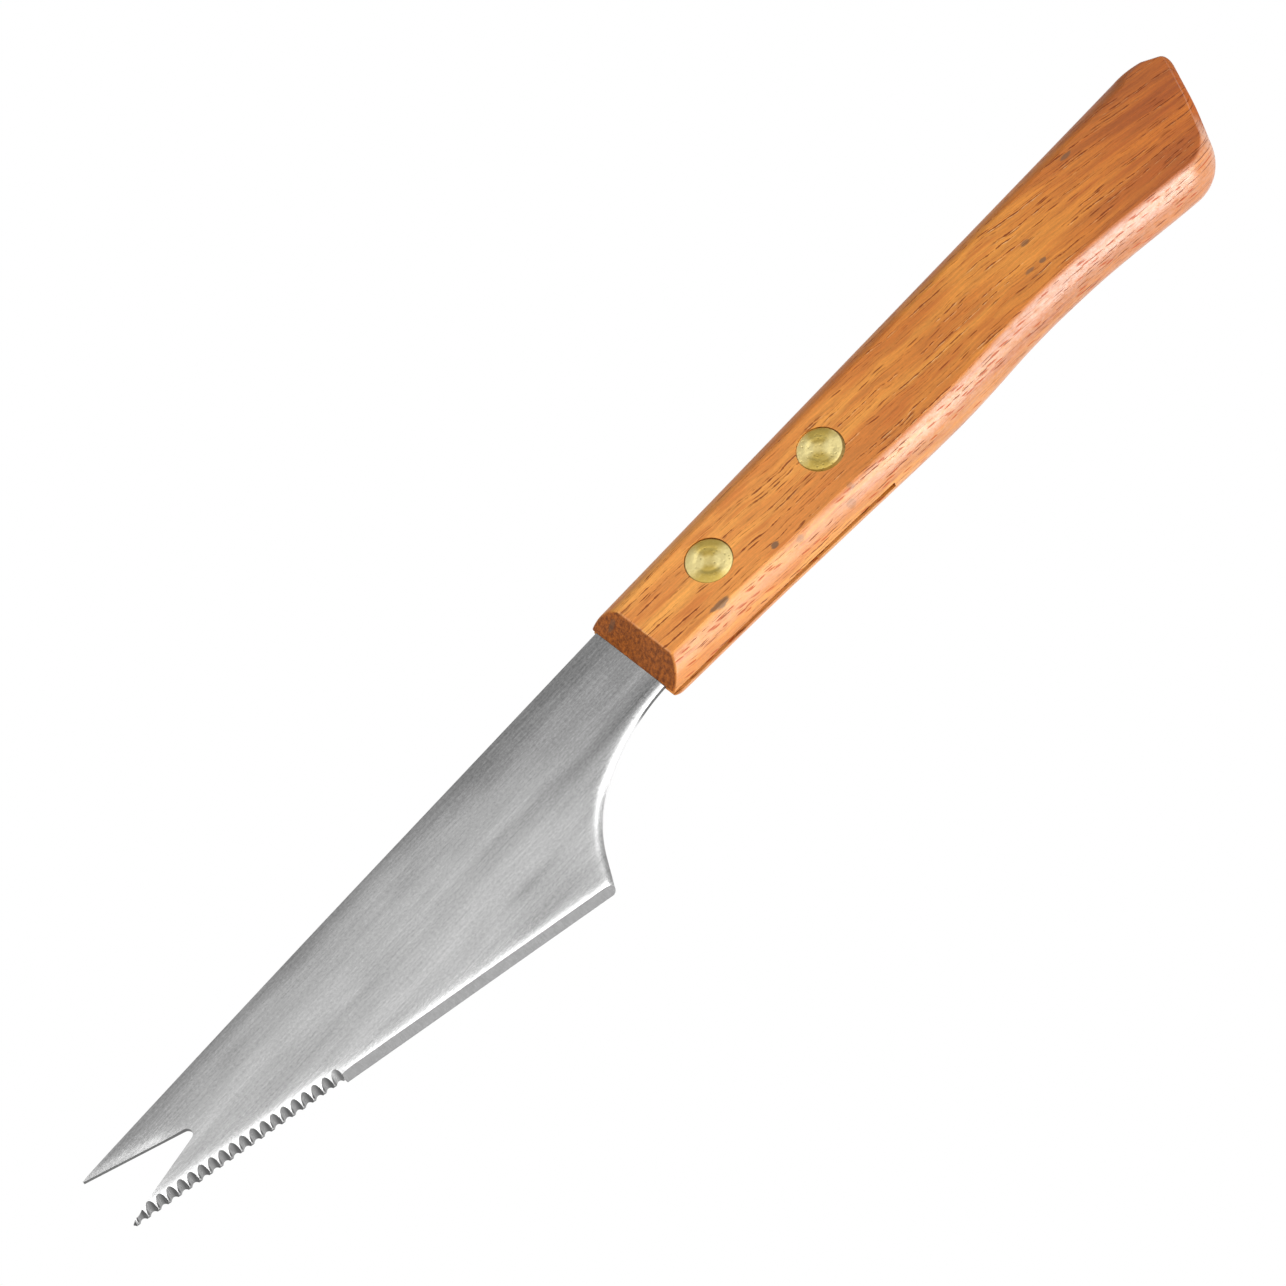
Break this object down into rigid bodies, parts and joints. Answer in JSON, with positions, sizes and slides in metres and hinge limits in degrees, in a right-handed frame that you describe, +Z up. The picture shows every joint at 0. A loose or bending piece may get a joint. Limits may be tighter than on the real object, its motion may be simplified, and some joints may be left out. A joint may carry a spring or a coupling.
{
  "type": "decorating knife",
  "caption": "Kitchen decorating knife with a forked tip, part-scalloped stainless blade and a riveted one-piece wooden handle.",
  "frame": {"origin": "on the handle's lower flat, midway between the two rivets, so the plane that the knife lies on is Z = 0", "axes": "+X along the knife from the blade towards the butt of the handle, +Y from the cutting edge towards the spine, +Z up through the thickness towards the ground face of the blade"},
  "size_m": [0.2142, 0.0291, 0.009],
  "materials": {
    "steel": "satin",
    "wood": "satin",
    "brass": "satin"
  },
  "bodies": {
    "root": {"blade": "steel", "handle": "wood", "front_rivet_post": "brass", "front_rivet_socket": "brass", "rear_rivet_post": "brass", "rear_rivet_socket": "brass"}
  },
  "joints": []
}
